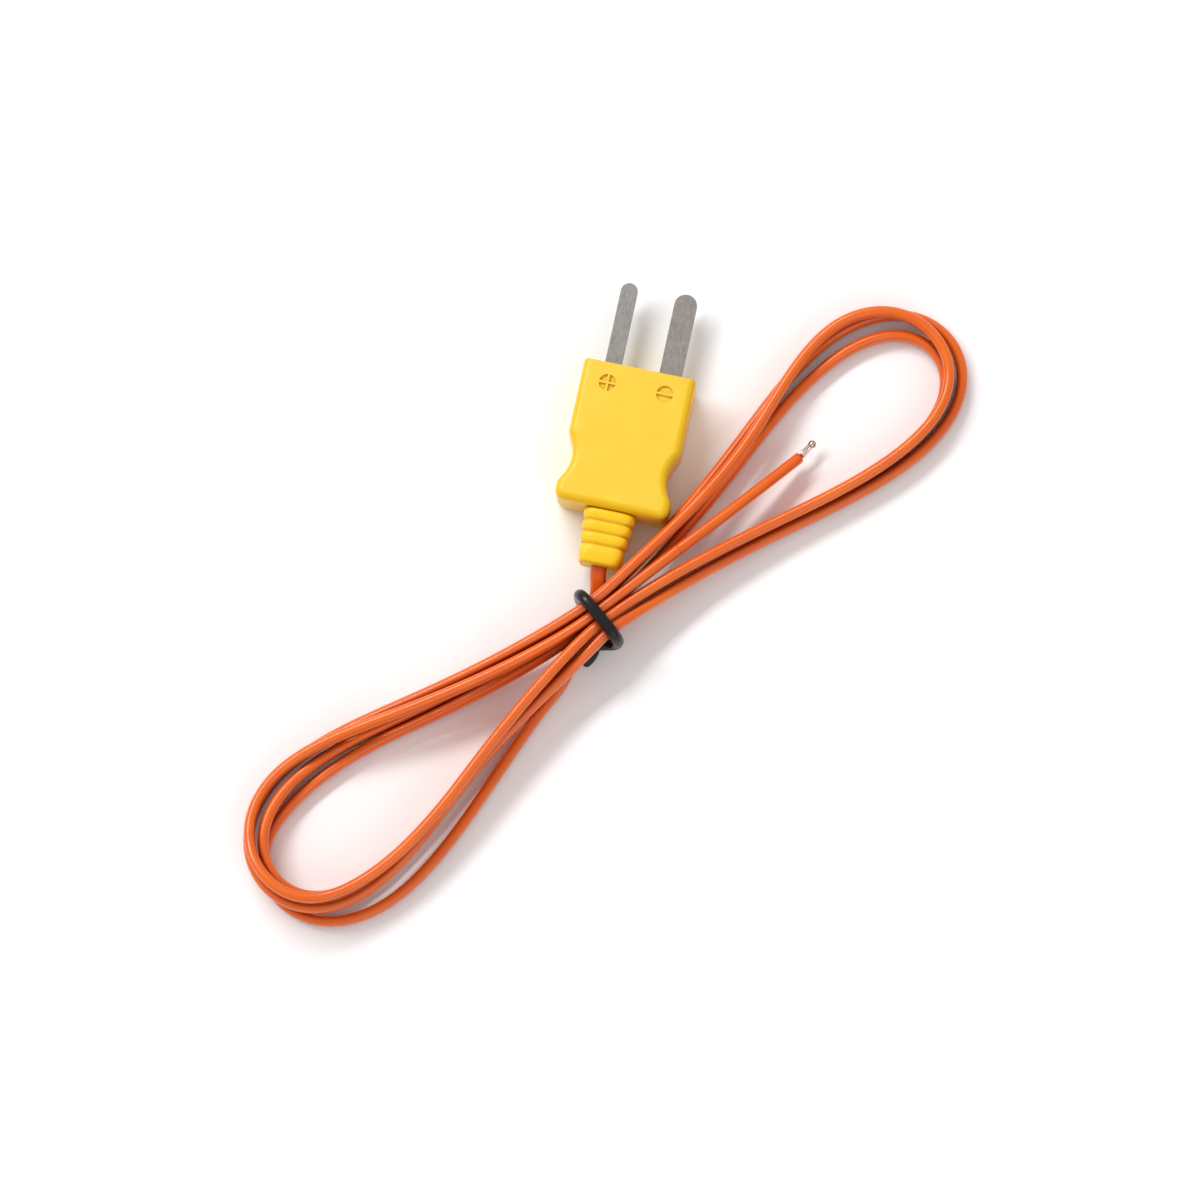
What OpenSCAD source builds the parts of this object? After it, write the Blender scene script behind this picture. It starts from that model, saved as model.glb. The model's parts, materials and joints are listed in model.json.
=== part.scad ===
// Type K thermocouple lead: a duplex cable with a welded measuring bead at one end and a moulded
// miniature flat-blade plug at the other, wound into a pinched coil that a twist tie holds.
// Frame: origin in the middle of the plug's mating face, +Y out along the blades, +X towards the
// wide negative blade, +Z up. The plug and the coil rest on the same table. Units: millimetres.

/* [Plug] */
// Width of the plug body across the blades
plug_w = 15.4; // [15.2:0.1:15.6]
// Length of the plug body from the mating face back
plug_len = 19.7; // [19.5:0.1:19.9]
// Thickness of the plug body
plug_h = 8; // [7.8:0.1:8.2]
// Depth of the finger notch in each side
notch_depth = 1.15; // [0.6:0.05:1.3]
// Length of the ribbed strain relief behind the body
boot_len = 7.5; // [7.1:0.1:7.5]

/* [Blades] */
// Distance between the blade centres
blade_pitch = 7.92; // [7.8:0.02:8]
// Length of blade that stands out of the body
blade_out = 12; // [10:0.5:13]
// Thickness of each blade
blade_t = 0.8; // [0.7:0.05:0.85]
// Width of the positive blade
positive_w = 2.3; // [2.2:0.1:2.5]
// Width of the negative blade
negative_w = 3.1; // [3:0.1:3.3]

/* [Cable] */
// Width of the flat cable
cable_w = 2.2; // [2.1:0.02:2.2]
// Thickness of the flat cable
cable_t = 1.45; // [1.4:0.01:1.45]
// Diameter of each insulated core
core_d = 0.72; // [0.64:0.02:0.74]
// Diameter of each conductor
wire_d = 0.4; // [0.3:0.02:0.42]
// Rings of facets along one half of the bow
rings_per_half = 17; // [14:1:20]

/* [Measuring end] */
// Diameter of the welded bead
bead_d = 1.1; // [0.9:0.1:1.4]
// Length of bare wire between the jacket and the bead
bare_len = 2.1; // [1.8:0.05:3]

/* [Twist tie] */
// Diameter of the tie over its coating
tie_d = 1.6; // [1.4:0.05:1.6]
// Diameter of the steel wire inside the tie
tie_core_d = 0.6; // [0.4:0.1:0.9]

/* [Hidden] */

clear = 0.05;                        // gap between neighbouring pieces
table_z = -plug_h / 2;               // the plug lies flat on the table

// Plug body
front_corner_r = 0.5;
rear_corner_r = 1.4;
edge_r = 1.1;                        // fillet around the two large faces
front_edge_share = 0.2;              // the fillet is tighter along the mating face
rear_flare = 0.1;                    // the tail end is wider than the front by this much per side
notch_y = -13.8;
notch_half_len = 3.45;
mark_y = -2.9;
mark_d = 2.3;
mark_depth = 0.35;
mark_stroke = 0.3;

// Pin carrier and the hidden ends of the blades
carrier_front = -1.5;
carrier_rear = -7.6;
carrier_w = 13;
carrier_h = 3.4;
tab_w = 1.3;
tab_rear = -11;
anchor_hole_d = 1.1;
anchor_peg_d = 0.9;
anchor_hole_y = -4.6;

// Boot
boot_w = [7.1, 6.85, 6.55, 6.1];     // width over each rib
boot_h = [6.2, 5.9, 5.6, 5.2];       // thickness over each rib
rib_pitch = 1.6;
rib_groove = 0.5;
boot_start = -plug_len - clear;
boot_end = -plug_len - boot_len;
spigot_len = 2.2;
spigot_w = 4.6;
spigot_h = 3.8;
boot_squareness = 4.5;               // superellipse exponent of the boot section

// Cable section
core_gap = 0.06;                     // between the two cores
bore_gap_w = 0.24;                   // by how much the jacket's bore is larger than the two cores
bore_gap_t = 0.17;
jacket_bore_w = 2 * core_d + bore_gap_w;
jacket_bore_t = core_d + bore_gap_t;
core_offset = (core_d + core_gap) / 2;   // each core lies this far from the cable's middle
core_bore_d = wire_d + 0.14;
jacket_stop = -15.6;                 // the jacket ends here inside the plug body
core_stop = -12.2;                   // the insulation ends here
weld_y = -9;                         // the bare wires lie on the blade tabs up to here
stub_end = boot_end - 0.6;           // cable that stands out of the boot before the open flex joint
plug_pivot = [0, boot_end - 1.5, 0];

// Coil: a pinched loop, seen along the direction in which its two halves are drawn out
coil_center = [1.6, -34.45];
coil_angle = 51.5;
bow_len = [56, 60.3];                // reach of the left and the right half from the tie
bow_w = [16.5, 15.6];
bow_power = 1.27;                    // higher values keep the two arms together for longer
lane = cable_t + clear;              // sideways step from strand to strand
level = cable_w + clear;             // height step from strand to strand
first_level_z = table_z + cable_w / 2 + clear;
mid = 1.45;                          // levels inside the tie
top = 2.46;

// Winding plan: one row per half turn, from the tie out and back to it. Each pair is the lane
// (outwards from the bow line) and the level of the cable at 0, 45, 90 ... 315 degrees.
winding = [
  [[1.5, 0.6], [1.25, 0.15], [0.95, 0], [0.85, 0], [0.6, 0], [-1.4, 0], [-0.95, 0], [-0.05, 1.28]],
  [[0.5, mid], [0.15, 0.95], [-0.65, 0], [-1, 0], [-0.8, 0], [-1.1, 0], [-0.95, 0], [0.2, 0.9]],
  [[0.5, mid], [0.3, 1.35], [-1.25, 0], [-1.9, 0.3], [-0.35, 1.1], [-0.3, 0.9], [0.1, 0], [0.98, 1.15]],
  [[1.5, mid], [1.22, 1.74], [0.42, 0.5], [0.85, 0], [0.95, 0], [0.1, 0], [0.1, 0], [1.28, 1.4]],
  [[1.5, top], [1.3, 1.95], [-0.9, 1.2], [-0.83, 1], [0.79, 1.15], [1.2, 0], [0.95, 1.15], [1.55, 2.3]],
  [[1.5, top], [1.1, 2.78], [-0.35, 1.55], [1.3, 1.06], [-0.2, 1], [-0.95, 1.06], [-0.7, 1.1], [0.25, 2]],
  [[0.5, top], [0.3, 2.65], [-0.9, 2.32], [-1.6, 2.1], [0.25, 2.25], [1.2, 1.05], [0.1, 2.05], [0.42, 2.46]]
];
stations = 8;
half_turns = len(winding);

// The lead from the plug into the coil and the free tip: along, across, height, roll of the cable
lead_points = [
  [2.85, 3.45, -1.15, 90], [0.2, 1.9, -1.6, 90], [-3.2, 0.7, -1.6, 90],
  [-5.4, -0.8, -1.7, 75], [-7.5, -2.3, -2.2, 35], [-10.3, -3.45, -2.75, 8]
];
tip_points = [
  [8, 0.58, 2.6, 0], [15, 0.44, 1.9, 0], [22, 0.29, 0.9, 0], [29, 0.25, -0.3, 0],
  [35.25, 0.3, -1.5, 0]
];
tip_break = 12;                      // the tip lead flexes this far from the tie
flex_gap = 0.6;                      // half the open length of cable at a flex joint
bare_dir = [2.9, 0.43, -0.4];        // the bare wires lean off the line of the cable

// Twist tie: along, across, height
tie_points = [
  [-5.2, -2.7, -3.15], [-4, -2.65, -3.15], [-2.6, -2.1, -3.15], [-1.4, -0.8, -3.15],
  [-0.5, 0.6, -3.15], [0, 2.2, -3.15], [0, 3.5, -2.65], [0, 4.05, -1.2], [0, 4.1, 1],
  [0, 3.9, 3.2], [0, 3.1, 4.5], [0, 1.2, 4.85], [0, -1.2, 4.85], [0, -3.15, 4.5],
  [0, -4, 3], [0, -3.95, 1], [-0.3, -3.75, -0.7], [-1, -3, -1.5], [-1.9, -2.3, -1.55],
  [-2.8, -1.7, -1.6]
];
tie_steps = 3;

// ---- Small vector helpers ----

function unit(v) = v / norm(v);
function flat(lists) = [for (l = lists) for (e = l) e];
function smooth(a, b, c, d, t) =
  b + (c - a) * t / 2 + (2 * a - 5 * b + 4 * c - d) * t * t / 2 + (3 * b - a - 3 * c + d) * t * t * t / 2;

// Points on a smooth curve through all the given points
function curve(pts, steps) = let (n = len(pts)) concat(
  [for (i = [0:n - 2]) for (k = [0:steps - 1])
    smooth(pts[max(i - 1, 0)], pts[i], pts[i + 1], pts[min(i + 2, n - 1)], k / steps)],
  [pts[n - 1]]);

// ---- Path of the cable ----

// From the coil's own axes (along, across) to the part frame
function along_dir() = [cos(coil_angle), sin(coil_angle), 0];
function across_dir() = [-sin(coil_angle), cos(coil_angle), 0];
function coil_to_part(p) =
  [coil_center[0], coil_center[1], p[2]] + p[0] * along_dir() + p[1] * across_dir();

// Line of one half of the bow: 0 degrees at the tie, 180 at its far end, 360 back at the tie
function bow_reach(a) = (1 - cos(a)) / 2;
function bow_line(half, a) =
  [bow_len[half] * bow_reach(a), bow_w[half] * sin(a) * pow(bow_reach(a), bow_power)];

// Direction in which the cable travels along the bow line
function bow_heading(half, a) = a == 0 ? 0 :
  let (h = bow_reach(a))
  atan2(
    bow_w[half] * (cos(a) * pow(h, bow_power) + bow_power * pow(h, bow_power - 1) * pow(sin(a), 2) / 2),
    bow_len[half] * sin(a) / 2);

// Lane and level at any station counted from the start of the coil
function station_pair(i) =
  let (k = max(0, min(i, half_turns * stations)))
  k == half_turns * stations ? winding[half_turns - 1][0] : winding[floor(k / stations)][k % stations];
function lane_level(g) =
  let (i = floor(g))
  smooth(station_pair(i - 1), station_pair(i), station_pair(i + 1), station_pair(i + 2), g - i);

// Cable centre at station g: [along, across, height, roll]
function coil_point(g) =
  let (
    turn = floor(g / stations),
    half = turn % 2,
    side = half == 0 ? -1 : 1,
    a = 360 * (g / stations - turn),
    out = bow_heading(half, a) + 90,
    ll = lane_level(g),
    p = side * (bow_line(half, a) + ll[0] * lane * [cos(out), sin(out)])
  )
  [p[0], p[1], first_level_z + max(0, ll[1]) * level, 0];

// Stations crowd together around the far ends, where the cable bends most
bend_crowding = 1.5;
function crowded(t) = let (u = 2 * t - 1) (1 + sign(u) * pow(abs(u), bend_crowding)) / 2;

// Where a point of the part frame lies in the coil's axes
function part_to_coil(p) =
  let (d = [p[0] - coil_center[0], p[1] - coil_center[1]])
  [
    d[0] * cos(coil_angle) + d[1] * sin(coil_angle),
    d[1] * cos(coil_angle) - d[0] * sin(coil_angle)
  ];

// The lead leaves the flex joint behind the boot and joins the winding at station lead_join
lead_join = 1.4;
lead_steps = 3;
function lead_path() =
  let (
    s = part_to_coil([plug_pivot[0], plug_pivot[1] - flex_gap]),
    through = concat(
      [[s[0], s[1], plug_pivot[2], 90]], lead_points, [coil_point(lead_join), coil_point(lead_join + 0.6)]),
    all = curve(through, lead_steps)
  )
  [for (i = [0:len(all) - 1 - lead_steps]) all[i]];

function winding_path() = [
  for (turn = [0:half_turns - 1])
    for (k = [0:rings_per_half - 1])
      let (g = stations * (turn + crowded(k / rings_per_half)))
        if (g > lead_join + 0.2) coil_point(g)
];

// From the last pass through the tie to the cut end of the tip
tip_steps = 4;
function tip_path() = curve(concat([coil_point(half_turns * stations)], tip_points), tip_steps);
function tip_part(from, to) = [for (p = tip_path()) if (p[0] >= from && p[0] <= to) p];

function coil_path() = concat(lead_path(), winding_path(), tip_part(-1, tip_break - flex_gap));

// ---- Sweeping a section along a path ----

// Section points run counter-clockwise seen against the direction of travel
function oval(w, t, steps) = [
  for (end = [1, -1]) for (k = [0:steps])
    let (a = 180 * k / steps + (end > 0 ? 0 : 180))
      [t / 2 * cos(a), (w - t) / 2 * end + t / 2 * sin(a)]
];
function circle_points(d, n) = [for (k = [0:n - 1]) d / 2 * [cos(360 * k / n), sin(360 * k / n)]];
function shifted(pts, x, y) = [for (p = pts) p + [x, y]];

// Direction of the path at point i
function heading(path, i) =
  let (n = len(path)) unit(xyz(path[min(i + 1, n - 1)]) - xyz(path[max(i - 1, 0)]));
function xyz(p) = [p[0], p[1], p[2]];

// Frames for a cable that stays upright: [centre, sideways, up], turned by its roll
function upright_frames(path) = [
  for (i = [0:len(path) - 1])
    let (
      t = heading(path, i),
      side = unit(cross([0, 0, 1], t)),
      up = cross(t, side),
      roll = path[i][3]
    )
    [xyz(path[i]), cos(roll) * side + sin(roll) * up, cos(roll) * up - sin(roll) * side]
];

// Frames for a round wire, carried along without twisting
function carried_frames(path) = [
  for (
    i = 0, t = heading(path, 0), side = unit(cross(t, [0.3, 0.2, 1]));
    i < len(path);
    i = i + 1, t = heading(path, min(i, len(path) - 1)), side = unit(side - (side * t) * t)
  )
  [path[i], side, cross(t, side)]
];

function ring_points(frames, section) =
  flat([for (f = frames) [for (p = section) f[0] + p[0] * f[1] + p[1] * f[2]]]);

// Quads between ring i and the next one, for a ring of n points starting at index first
function skin(first, n, i, inward) = [
  for (k = [0:n - 1])
    let (a = first + i * n + k, b = first + i * n + (k + 1) % n)
      inward ? [a, b, b + n, a + n] : [a, a + n, b + n, b]
];

// Solid section swept along the frames
module swept(frames, section) {
  n = len(section);
  last = (len(frames) - 1) * n;
  polyhedron(
    points = ring_points(frames, section),
    faces = concat(
      [[for (k = [0:n - 1]) k]],
      [[for (k = [n - 1:-1:0]) last + k]],
      flat([for (i = [0:len(frames) - 2]) skin(0, n, i, false)])
    ));
}

// Hollow section: outer and bore have the same number of points
module swept_tube(frames, outer, bore) {
  n = len(outer);
  rings = len(frames);
  start = rings * n;
  last = (rings - 1) * n;
  polyhedron(
    points = concat(ring_points(frames, outer), ring_points(frames, bore)),
    faces = concat(
      [for (k = [0:n - 1]) let (m = (k + 1) % n) [k, m, start + m, start + k]],
      [for (k = [0:n - 1]) let (m = (k + 1) % n)
        [last + m, last + k, start + last + k, start + last + m]],
      flat([for (i = [0:rings - 2]) concat(skin(0, n, i, false), skin(start, n, i, true))])
    ));
}

// ---- Cable sections ----

jacket_steps = 4;
jacket_outer = oval(cable_w, cable_t, jacket_steps);
jacket_bore = oval(jacket_bore_w, jacket_bore_t, jacket_steps);
core_sides = 6;
wire_sides = 4;
bore_growth = 1 / cos(180 / core_sides);   // keeps the flats of the bore clear of the conductor
core_section = circle_points(core_d, core_sides);
core_bore = circle_points(core_bore_d * bore_growth, core_sides);
wire_section = circle_points(wire_d, wire_sides);

module jacket(frames) {
  color([0.91, 0.42, 0.13]) swept_tube(frames, jacket_outer, jacket_bore);
}

// which is -1 for the positive core and 1 for the negative one
module insulation(frames, which) {
  color(which < 0 ? [0.93, 0.80, 0.15] : [0.72, 0.10, 0.08])
    swept_tube(
      frames, shifted(core_section, 0, which * core_offset), shifted(core_bore, 0, which * core_offset));
}

module conductor(frames, which) {
  color([0.72, 0.70, 0.67]) swept(frames, shifted(wire_section, 0, which * core_offset));
}

// Frames of the coil and the tip in the part frame
function placed(path) = [for (p = path) let (q = coil_to_part(p)) [q[0], q[1], q[2], p[3]]];
coil_frames = upright_frames(placed(coil_path()));
tip_frames = upright_frames(placed(tip_part(tip_break + flex_gap, 99)));
tie_frames = carried_frames([for (p = curve(tie_points, tie_steps)) coil_to_part(p)]);

// The stub of cable that the plug holds
stub_frames = upright_frames([for (y = [stub_end, jacket_stop]) [0, y, 0, 90]]);

// Each core spreads from the jacket to the tab of its blade; side is -1 or 1
core_spread = [
  [core_offset, jacket_stop - 0.3, 0], [core_offset + 0.1, jacket_stop + 0.5, 0], [2.2, -13.4, 0.2],
  [3.6, -12.4, 0.45], [blade_pitch / 2, -11.2, 0.7], [blade_pitch / 2, weld_y, 0.7]
];
spread_steps = 3;

// ---- Plug body ----

fillet_steps = 5;
notch_power = 1.05;

function half_width(y) =
  let (
    d = (y - notch_y) / notch_half_len,
    notch = abs(d) < 1 ? notch_depth * pow(1 - d * d, notch_power) : 0,
    tail = y < notch_y ? rear_flare * min(1, -(y - notch_y) / notch_half_len) : 0
  )
  plug_w / 2 - notch + tail;

// Right side of the outline from the mating face to the rear face
corner_steps = 4;
side_steps = 20;
function right_side(inset) =
  let (
    rf = max(clear, front_corner_r - inset),
    rr = max(clear, rear_corner_r - inset),
    y0 = -front_edge_share * inset,
    y1 = -plug_len + inset
  )
  concat(
    [for (k = [0:corner_steps]) let (a = 90 - 90 * k / corner_steps)
      [half_width(0) - inset - rf + rf * cos(a), y0 - rf + rf * sin(a)]],
    [for (k = [1:side_steps - 1]) let (y = y0 - rf + k / side_steps * (y1 + rr - y0 + rf))
      [half_width(y) - inset, y]],
    [for (k = [0:corner_steps]) let (a = -90 * k / corner_steps)
      [half_width(-plug_len) - inset - rr + rr * cos(a), y1 + rr + rr * sin(a)]]
  );
function outline(inset) =
  let (r = right_side(inset), n = len(r)) concat(r, [for (k = [n - 1:-1:0]) [-r[k][0], r[k][1]]]);

// Layers from the upper face down, each one an inset copy of the outline
function body_layers() = [
  for (side = [1, -1]) for (k = [0:fillet_steps])
    let (b = 90 * (side > 0 ? fillet_steps - k : k) / fillet_steps)
      [side * (plug_h / 2 - edge_r + edge_r * sin(b)), edge_r * (1 - cos(b))]
];

// Solid through a stack of rings with equal numbers of points, counter-clockwise around its direction
module stack(rings) {
  n = len(rings[0]);
  last = (len(rings) - 1) * n;
  polyhedron(
    points = flat(rings),
    faces = concat(
      [[for (k = [0:n - 1]) k]],
      [[for (k = [n - 1:-1:0]) last + k]],
      flat([for (i = [0:len(rings) - 2]) skin(0, n, i, false)])
    ));
}

module body_shell() {
  stack([for (l = body_layers()) [for (p = outline(l[1])) [p[0], p[1], l[0]]]]);
}

module block(x, y, z) {
  translate([x[0], y[0], z[0]]) cube([x[1] - x[0], y[1] - y[0], z[1] - z[0]]);
}

// Round recess with a raised bar or cross right across it to mark the polarity
module mark_recess(side) {
  translate([side * blade_pitch / 2, mark_y, plug_h / 2 - mark_depth])
    difference() {
      cylinder(d = mark_d, h = 2 * mark_depth, $fn = 48);
      for (turn = side < 0 ? [0, 90] : [0])
        rotate(turn) cube([mark_d * 1.1, mark_stroke, 5 * mark_depth], center = true);
    }
}

module blade_slots(gap) {
  for (side = [-1, 1]) {
    w = side < 0 ? positive_w : negative_w;
    translate([side * blade_pitch / 2, 0, 0])
      cube([w + 2 * gap, -2 * carrier_rear + 1, blade_t + 2 * gap], center = true);
  }
}

module plug_body() {
  color([0.98, 0.80, 0.12]) difference() {
    body_shell();
    for (side = [-1, 1]) mark_recess(side);
    blade_slots(clear);
    // Pocket of the pin carrier
    block(
      [-carrier_w / 2 - clear, carrier_w / 2 + clear], [carrier_rear - clear, carrier_front + clear],
      [-carrier_h / 2 - clear, carrier_h / 2 + clear]);
    wiring_chamber();
    // Slot of the jacket and pocket of the boot's spigot
    translate([0, jacket_stop + clear, 0]) rotate([90, 0, 0]) linear_extrude(plug_len) flat_oval(clear);
    block(
      [-spigot_w / 2 - clear, spigot_w / 2 + clear], [-plug_len - 1, -plug_len + spigot_len + clear],
      [-spigot_h / 2 - clear, spigot_h / 2 + clear]);
  }
}

// Exact section of the flat cable with a gap all round
module flat_oval(gap) {
  straight_w = cable_w - cable_t;
  square([straight_w, cable_t + 2 * gap], center = true);
  for (side = [-1, 1]) translate([side * straight_w / 2, 0]) circle(d = cable_t + 2 * gap, $fn = 48);
}

// Space behind the pin carrier in which the cores spread to the blade tabs
chamber_floor = -0.55;
chamber_roof = 1.25;
chamber_mouth = 1.4;                 // half width where the cores leave the jacket
chamber_shoulder = tab_rear - 1;     // full width from here to the pin carrier
chamber_gap = 0.2;                   // room beside the blade tabs
module wiring_chamber() {
  far = blade_pitch / 2 + tab_w / 2 + chamber_gap;
  translate([0, 0, chamber_floor]) linear_extrude(chamber_roof - chamber_floor) polygon([
    [-chamber_mouth, jacket_stop], [chamber_mouth, jacket_stop], [far, chamber_shoulder],
    [far, carrier_rear], [-far, carrier_rear], [-far, chamber_shoulder]
  ]);
}

module pin_carrier() {
  color([0.86, 0.66, 0.10]) {
    difference() {
      block([-carrier_w / 2, carrier_w / 2], [carrier_rear, carrier_front], [-carrier_h / 2, carrier_h / 2]);
      blade_slots(clear);
    }
    // A peg through the anchor hole keeps each blade from being pulled out
    for (side = [-1, 1])
      translate([side * blade_pitch / 2, anchor_hole_y, 0])
        cylinder(d = anchor_peg_d, h = carrier_h / 2, center = true, $fn = 32);
  }
}

// Flat blade with a round tip, an anchor hole and a narrow tab for the wire
module blade(w) {
  linear_extrude(blade_t, center = true) difference() {
    union() {
      translate([0, blade_out - w / 2]) circle(d = w, $fn = 48);
      translate([-w / 2, carrier_rear]) square([w, blade_out - w / 2 - carrier_rear]);
      translate([-tab_w / 2, tab_rear]) square([tab_w, carrier_rear - tab_rear + 1]);
    }
    translate([0, anchor_hole_y]) circle(d = anchor_hole_d, $fn = 32);
  }
}

module positive_blade() {
  color([0.70, 0.70, 0.69]) translate([-blade_pitch / 2, 0, 0]) blade(positive_w);
}

module negative_blade() {
  color([0.72, 0.69, 0.64]) translate([blade_pitch / 2, 0, 0]) blade(negative_w);
}

// ---- Strain relief boot ----

// Superellipse section; the exponent squares it up
boot_points = 24;
function squared(v) = sign(v) * pow(abs(v), 2 / boot_squareness);
function boot_ring(w, h, y) = [
  for (k = [0:boot_points - 1]) let (a = 360 * k / boot_points)
    [w / 2 * squared(cos(a)), y, h / 2 * squared(sin(a))]
];

// Each rib has its crest at the front and slopes down to the groove behind it
rib_profile = [0, 0.12, 0.3, 0.55, 0.8, 0.92];
function rib_drop(t) = 1 - pow(max(0, sin(180 * pow(t, 0.75))), 0.5);
last_rib_len = boot_len - 3 * rib_pitch;
function boot_rings() = concat(
  flat([
    for (rib = [0:len(boot_w) - 1])
      let (long = rib == len(boot_w) - 1 ? last_rib_len : rib_pitch)
      [for (t = rib_profile)
        let (drop = 2 * rib_groove * rib_drop(t))
          boot_ring(boot_w[rib] - drop, boot_h[rib] - drop, boot_start - rib * rib_pitch - t * long)]
  ]),
  [boot_ring(boot_w[3] - rib_groove, boot_h[3] - rib_groove, boot_end)]);

module strain_relief_boot() {
  color([0.96, 0.76, 0.10]) difference() {
    union() {
      stack(boot_rings());
      block(
        [-spigot_w / 2, spigot_w / 2], [boot_start - 0.5, -plug_len + spigot_len],
        [-spigot_h / 2, spigot_h / 2]);
    }
    rotate([90, 0, 0]) linear_extrude(boot_len + plug_len + 5) flat_oval(clear);
  }
}

// ---- Cable held by the plug ----

module plug_jacket() {
  jacket(stub_frames);
}

function spread_path(side, from, to) = [
  for (p = curve(core_spread, spread_steps)) if (p[1] >= from && p[1] <= to) [side * p[0], p[1], p[2]]
];
// Straight along the cable first, then along its own spread
function plug_core_path(side, from, to) =
  concat([[side * core_offset, from, 0]], spread_path(side, jacket_stop - 0.31, to));

module plug_insulation(side) {
  color(side < 0 ? [0.93, 0.80, 0.15] : [0.72, 0.10, 0.08])
    swept_tube(carried_frames(plug_core_path(side, stub_end, core_stop)), core_section, core_bore);
}

module plug_wire(side) {
  color([0.72, 0.70, 0.67])
    swept(carried_frames(plug_core_path(side, stub_end, weld_y)), wire_section);
}

module plug_positive_insulation() { plug_insulation(-1); }
module plug_negative_insulation() { plug_insulation(1); }
module plug_positive_wire() { plug_wire(-1); }
module plug_negative_wire() { plug_wire(1); }

// ---- Coil ----

module coil_jacket() { jacket(coil_frames); }
module coil_positive_insulation() { insulation(coil_frames, -1); }
module coil_negative_insulation() { insulation(coil_frames, 1); }
module coil_positive_wire() { conductor(coil_frames, -1); }
module coil_negative_wire() { conductor(coil_frames, 1); }

// ---- Tip ----

tip_insulation_out = 0.4;            // the cores stand out of the cut jacket by this much
bead_sides = 24;

// Cable frames moved on past the cut of the jacket by a distance
function beyond(frames, distance) =
  let (n = len(frames), last = frames[n - 1], t = unit(last[0] - frames[n - 2][0]))
  concat(frames, [[last[0] + distance * t, last[1], last[2]]]);

tip_end = tip_points[len(tip_points) - 1];
wire_end = coil_to_part([for (i = [0:2]) tip_end[i] + bare_len * unit(bare_dir)[i]]);

// Path of one bare wire: inside the insulation first, then bowed out and in to the bead
wire_bow = 0.16;
function tip_wire_path(side) =
  let (
    f = tip_frames,
    n = len(f),
    root = f[n - 1][0] + side * core_offset * f[n - 1][2],
    mouth = beyond(f, tip_insulation_out)[n][0] + side * core_offset * f[n - 1][2],
    end = wire_end + side * wire_d * 0.55 * f[n - 1][2],
    middle = (mouth + end) / 2 + side * wire_bow * f[n - 1][2]
  )
  concat(
    [for (i = [0:n - 2]) f[i][0] + side * core_offset * f[i][2]],
    curve([root, mouth, middle, end], 2));

module tip_wire(side) {
  color([0.72, 0.70, 0.67]) swept(carried_frames(tip_wire_path(side)), wire_section);
}

module tip_jacket() { jacket(tip_frames); }
module tip_positive_insulation() { insulation(beyond(tip_frames, tip_insulation_out), -1); }
module tip_negative_insulation() { insulation(beyond(tip_frames, tip_insulation_out), 1); }
module tip_positive_wire() { tip_wire(-1); }
module tip_negative_wire() { tip_wire(1); }

module measuring_bead() {
  color([0.66, 0.64, 0.60])
    translate(wire_end + (bead_d / 2 + clear) * unit(wire_end - coil_to_part(tip_end)))
      sphere(d = bead_d, $fn = bead_sides);
}

// ---- Twist tie ----

tie_sides = 10;
tie_core_sides = 6;
module tie_coating() {
  color([0.15, 0.14, 0.13]) swept_tube(
    tie_frames, circle_points(tie_d, tie_sides), circle_points(tie_core_d + 2 * clear + 0.06, tie_sides));
}

module tie_wire() {
  color([0.55, 0.55, 0.55]) swept(tie_frames, circle_points(tie_core_d, tie_core_sides));
}

// ---- Assembly ----

plug_body();
pin_carrier();
positive_blade();
negative_blade();
strain_relief_boot();
plug_jacket();
plug_positive_insulation();
plug_negative_insulation();
plug_positive_wire();
plug_negative_wire();
coil_jacket();
coil_positive_insulation();
coil_negative_insulation();
coil_positive_wire();
coil_negative_wire();
tip_jacket();
tip_positive_insulation();
tip_negative_insulation();
tip_positive_wire();
tip_negative_wire();
measuring_bead();
tie_coating();
tie_wire();
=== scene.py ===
"""Looks of the coiled thermocouple lead: smooth cable, moulded plug, blades, bead and twist tie."""
import json
import math

import bpy
import numpy as np
from mathutils import Matrix, Vector


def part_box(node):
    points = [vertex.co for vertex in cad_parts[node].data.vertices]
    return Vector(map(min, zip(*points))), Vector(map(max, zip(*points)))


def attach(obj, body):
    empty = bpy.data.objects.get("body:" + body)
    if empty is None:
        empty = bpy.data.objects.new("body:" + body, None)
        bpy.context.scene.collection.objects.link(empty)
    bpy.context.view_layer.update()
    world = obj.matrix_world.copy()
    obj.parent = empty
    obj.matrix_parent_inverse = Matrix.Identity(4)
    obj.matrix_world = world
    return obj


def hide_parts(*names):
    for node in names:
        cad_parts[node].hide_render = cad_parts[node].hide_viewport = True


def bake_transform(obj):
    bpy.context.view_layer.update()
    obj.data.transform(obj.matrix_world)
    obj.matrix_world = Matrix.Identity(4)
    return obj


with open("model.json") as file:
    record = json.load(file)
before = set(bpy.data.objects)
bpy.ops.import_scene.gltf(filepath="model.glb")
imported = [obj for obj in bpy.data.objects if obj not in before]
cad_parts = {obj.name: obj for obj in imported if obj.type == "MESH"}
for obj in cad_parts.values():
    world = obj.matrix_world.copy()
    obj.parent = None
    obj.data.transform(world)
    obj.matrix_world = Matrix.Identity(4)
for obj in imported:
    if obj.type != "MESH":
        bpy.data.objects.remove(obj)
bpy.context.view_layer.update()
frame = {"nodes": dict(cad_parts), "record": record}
NODES = frame["nodes"]
MM = 0.001


# ---- Sizes read from the frame, in millimetres ----

def box_mm(node):
    low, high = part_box(node)
    return np.array(low) / MM, np.array(high) / MM


def joint(name):
    return next(j for j in frame["record"]["behaviour"]["joints"] if j["name"] == name)


body_low, body_high = box_mm("plug_body")
boot_low, boot_high = box_mm("strain_relief_boot")
stub_low, stub_high = box_mm("plug_jacket")
positive_low, positive_high = box_mm("positive_blade")
negative_low, negative_high = box_mm("negative_blade")

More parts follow.
